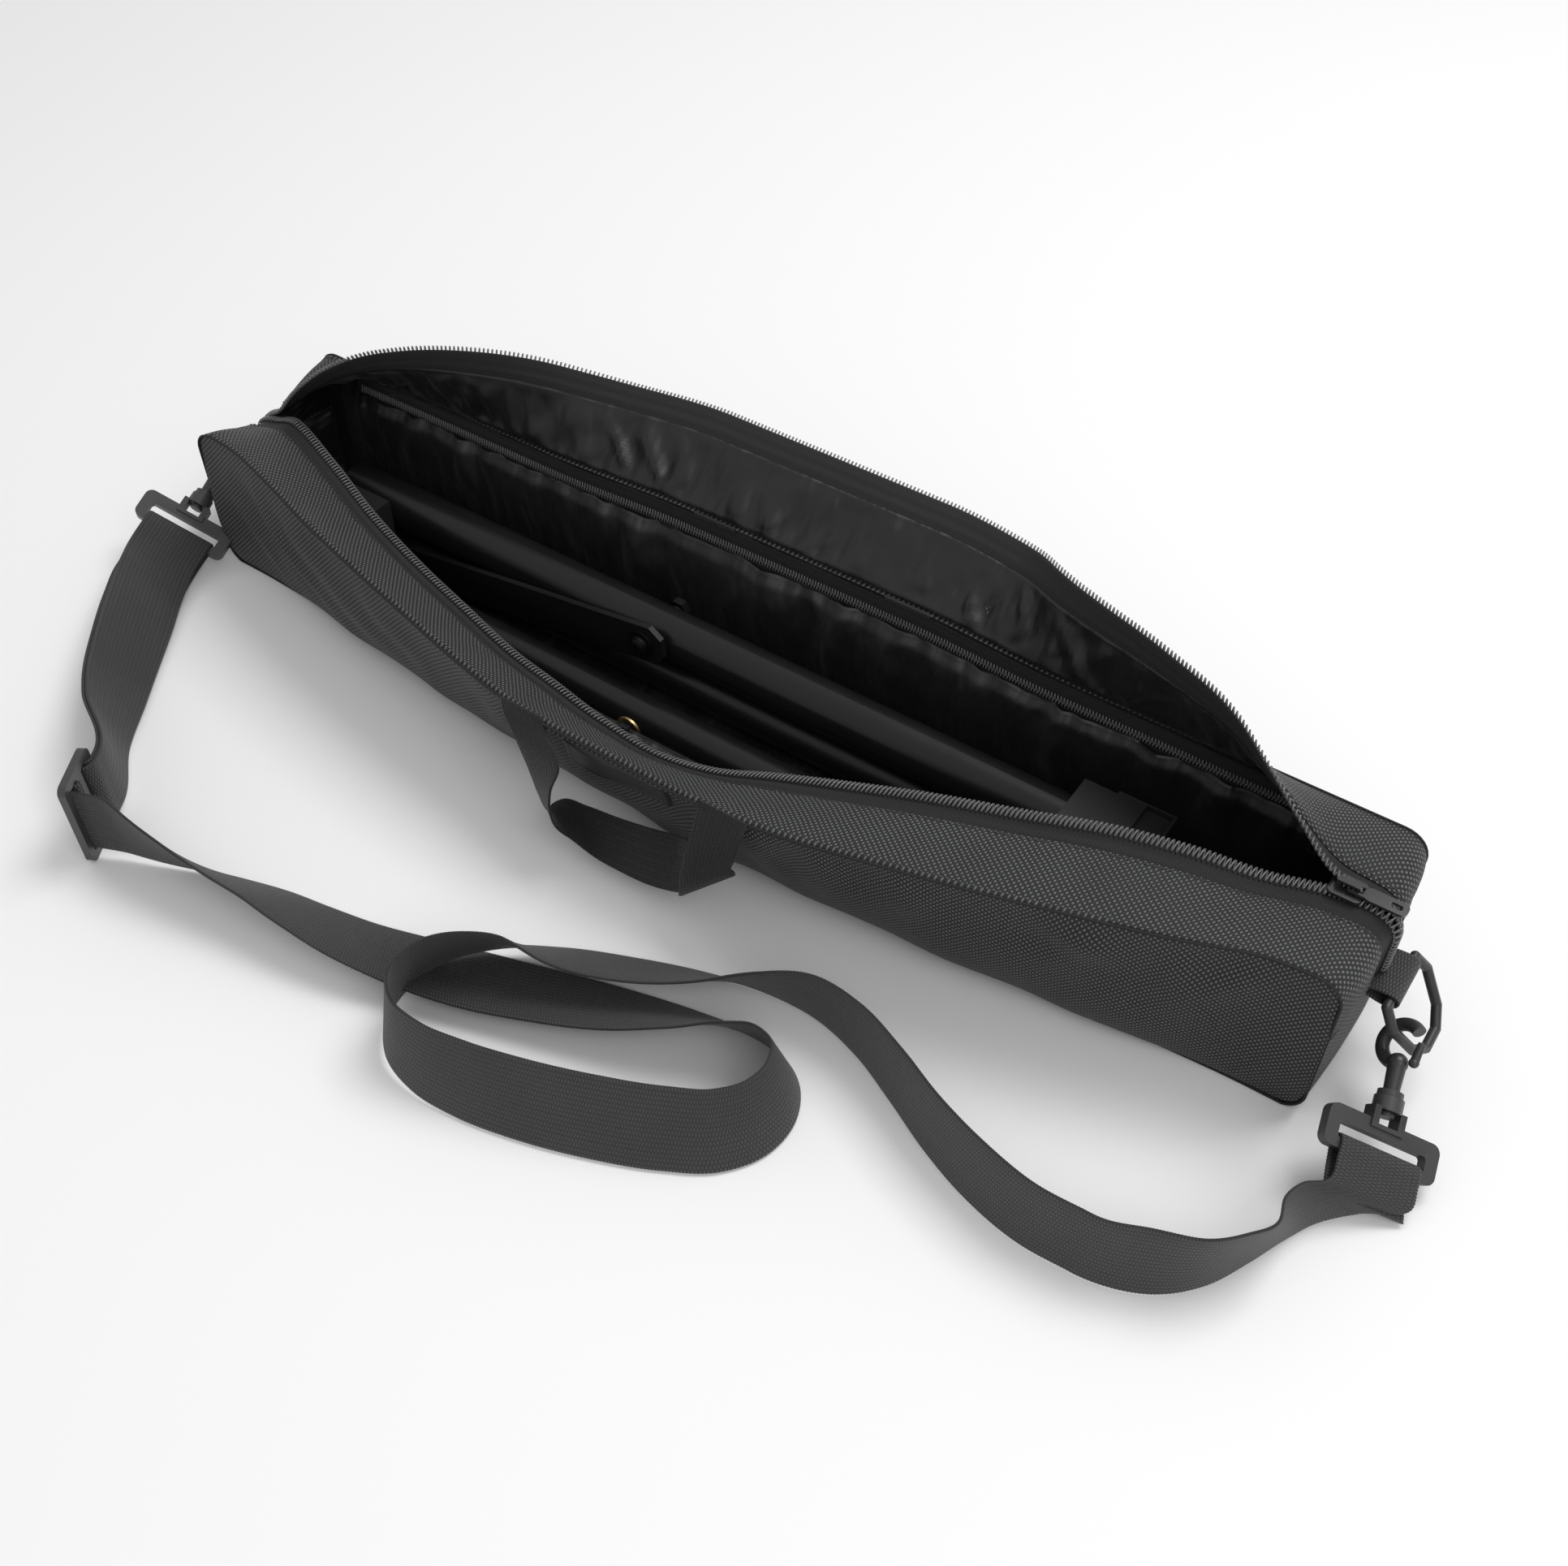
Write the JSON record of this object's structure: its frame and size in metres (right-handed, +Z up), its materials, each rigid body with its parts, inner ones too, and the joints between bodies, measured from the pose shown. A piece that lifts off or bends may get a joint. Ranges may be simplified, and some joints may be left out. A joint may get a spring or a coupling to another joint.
{
  "type": "long zip-top carrying bag with folded stand",
  "caption": "Long soft black bag with a zipped mouth, standing open on its base, with a shoulder strap on snap hooks and a folded metal stand inside.",
  "frame": {"origin": "centre of the base of the closed bag, on the ground", "axes": "+X along the bag towards the end with the parked zip slider, +Y towards the back with the inner pocket, +Z up"},
  "size_m": [0.73, 0.3178, 0.1232],
  "materials": {
    "outer_cloth": "coarse black basket-weave polyester",
    "lining": "thin black satin polyester",
    "webbing": "ribbed black webbing",
    "zip_tape": "black herringbone zip tape",
    "zip_coil": "satin black nylon coil",
    "zip_metal": "gloss black",
    "acetal": "satin black moulding",
    "patch_rubber": "matt black",
    "stand_tube": "satin black",
    "stand_plastic": "black moulding",
    "bolt_black": "black oxide",
    "steel": "bright zinc",
    "brass": "plain"
  },
  "bodies": {
    "bag": {"bottom_gusset": "outer_cloth", "end_gusset_left": "outer_cloth", "end_gusset_right": "outer_cloth", "back_panel": "outer_cloth", "front_panel_ends": "outer_cloth", "front_gusset_ends": "outer_cloth", "back_gusset_ends": "lining", "pocket_panel": "lining", "pocket_zip": "zip_tape", "ring_tab_left": "webbing", "ring_tab_right": "webbing", "hook_base_left": "acetal", "hook_base_right": "acetal", "strap_fold_left": "webbing", "strap_fold_right": "webbing", "shoulder_strap": "webbing", "strap_double": "webbing"},
    "front_side": {"front_panel": "outer_cloth", "patch": "patch_rubber"},
    "front_flap": {"front_gusset": "outer_cloth", "front_zip_tape": "zip_tape", "front_zip_coil": "zip_coil"},
    "back_flap": {"back_gusset": "lining", "back_zip_tape": "zip_tape", "back_zip_coil": "zip_coil"},
    "zip_slider": {"zip_slider": "zip_metal"},
    "zip_pull": {"zip_pull": "zip_metal"},
    "pocket_slider": {"pocket_slider": "zip_metal"},
    "pocket_pull": {"pocket_pull": "zip_metal"},
    "front_handle": {"front_handle": "webbing"},
    "back_handle": {"back_handle": "webbing"},
    "ring_right": {"ring_right": "acetal"},
    "ring_left": {"ring_left": "acetal"},
    "hook_right": {"hook_right": "acetal"},
    "hook_left": {"hook_left": "acetal"},
    "hook_gate_right": {"hook_gate_right": "acetal"},
    "hook_gate_left": {"hook_gate_left": "acetal"},
    "tri_glide": {"tri_glide": "acetal"},
    "stand": {"stand_post": "stand_tube", "rear_leg": "stand_tube", "post_foot": "stand_plastic", "rear_leg_plug": "stand_plastic", "hub_block": "stand_plastic", "leg_pivot_bolt": "bolt_black", "hub_bolt": "bolt_black", "brace_screw": "steel", "brace_washer": "steel", "brace_nut": "steel", "brace_spacer": "stand_plastic"},
    "front_leg": {"front_leg": "stand_tube", "front_leg_plug": "stand_plastic", "leg_bolt": "steel", "brass_washer": "brass"},
    "brace": {"brace_bar": "stand_tube"}
  },
  "joints": [
    {"name": "mouth_close", "type": "hinge", "parent": "bag", "child": "front_side", "pos_m": [0, -0.053, -0.0222], "axis": [1, 0, 0], "range_deg": [-30.5, 0]},
    {"name": "front_flap_fold", "type": "hinge", "parent": "bag", "child": "front_flap", "pos_m": [0, -0.10331, 0.23703], "axis": [1, 0, 0], "range_deg": [0, 20]},
    {"name": "back_flap_fold", "type": "hinge", "parent": "bag", "child": "back_flap", "pos_m": [0, 0.045, 0.085], "axis": [1, 0, 0], "range_deg": [0, 130]},
    {"name": "zip_slide", "type": "slide", "parent": "bag", "child": "zip_slider", "axis": [0.9999, 0, 0.0159], "range_m": [-0.5861, 0]},
    {"name": "zip_pull_swing", "type": "hinge", "parent": "zip_slider", "child": "zip_pull", "pos_m": [0.297, 0, 0.0885], "axis": [0, -1, 0], "range_deg": [0, 140]},
    {"name": "pocket_zip_slide", "type": "slide", "parent": "bag", "child": "pocket_slider", "axis": [1, 0, 0], "range_m": [-0.53, 0]},
    {"name": "pocket_pull_swing", "type": "hinge", "parent": "pocket_slider", "child": "pocket_pull", "pos_m": [0.273, 0.0374, 0.0746], "axis": [-1, 0, 0], "range_deg": [0, 60]},
    {"name": "front_handle_swing", "type": "hinge", "parent": "front_side", "child": "front_handle", "pos_m": [0, -0.10051, 0.07423], "axis": [-1, 0, 0], "range_deg": [-28, 150]},
    {"name": "back_handle_swing", "type": "hinge", "parent": "bag", "child": "back_handle", "pos_m": [0, 0.0482, 0.0786], "axis": [1, 0, 0], "range_deg": [0, 110]},
    {"name": "ring_right_swing", "type": "hinge", "parent": "bag", "child": "ring_right", "pos_m": [0.328, 0, 0.05], "axis": [0, 1, 0], "range_deg": [-5, 5]},
    {"name": "ring_left_swing", "type": "hinge", "parent": "bag", "child": "ring_left", "pos_m": [-0.328, 0, 0.05], "axis": [0, -1, 0], "range_deg": [-5, 5]},
    {"name": "hook_right_swivel", "type": "hinge", "parent": "bag", "child": "hook_right", "pos_m": [0.33883, -0.0177, 0.03601], "axis": [0.2205, -0.9021, -0.3709], "range_deg": [-10, 10]},
    {"name": "hook_left_swivel", "type": "hinge", "parent": "bag", "child": "hook_left", "pos_m": [-0.33833, -0.01774, 0.03604], "axis": [0.1136, -0.9294, -0.3511], "range_deg": [-10, 10]},
    {"name": "gate_right_open", "type": "hinge", "parent": "hook_right", "child": "hook_gate_right", "pos_m": [0.34607, -0.02483, 0.03743], "axis": [-0.5612, -0.4283, 0.7082], "range_deg": [0, 18]},
    {"name": "gate_left_open", "type": "hinge", "parent": "hook_left", "child": "hook_gate_left", "pos_m": [-0.3318, -0.02268, 0.02985], "axis": [0.5738, -0.2271, 0.7869], "range_deg": [0, 18]},
    {"name": "strap_adjust", "type": "slide", "parent": "bag", "child": "tri_glide", "axis": [-0.5174, 0.8557, 0], "range_m": [0, 0.01]},
    {"name": "stand_lift", "type": "hinge", "parent": "bag", "child": "stand", "pos_m": [-0.287, 0, -0.2], "axis": [0, -1, 0], "range_deg": [0, 10]},
    {"name": "front_leg_swing", "type": "hinge", "parent": "stand", "child": "front_leg", "pos_m": [-0.238, -0.025, 0.013], "axis": [0, -1, 0], "range_deg": [0, 20]},
    {"name": "brace_swing", "type": "hinge", "parent": "stand", "child": "brace", "pos_m": [-0.054, -0.006, 0.042], "axis": [0, 1, 0], "range_deg": [0, 70]}
  ],
  "couplings": [
    {"joint": "front_flap_fold", "follows": "mouth_close", "ratio": -0.6557},
    {"joint": "back_flap_fold", "follows": "mouth_close", "ratio": -4.2622},
    {"joint": "zip_slide", "follows": "mouth_close", "m_per_rad": 1.1008}
  ]
}
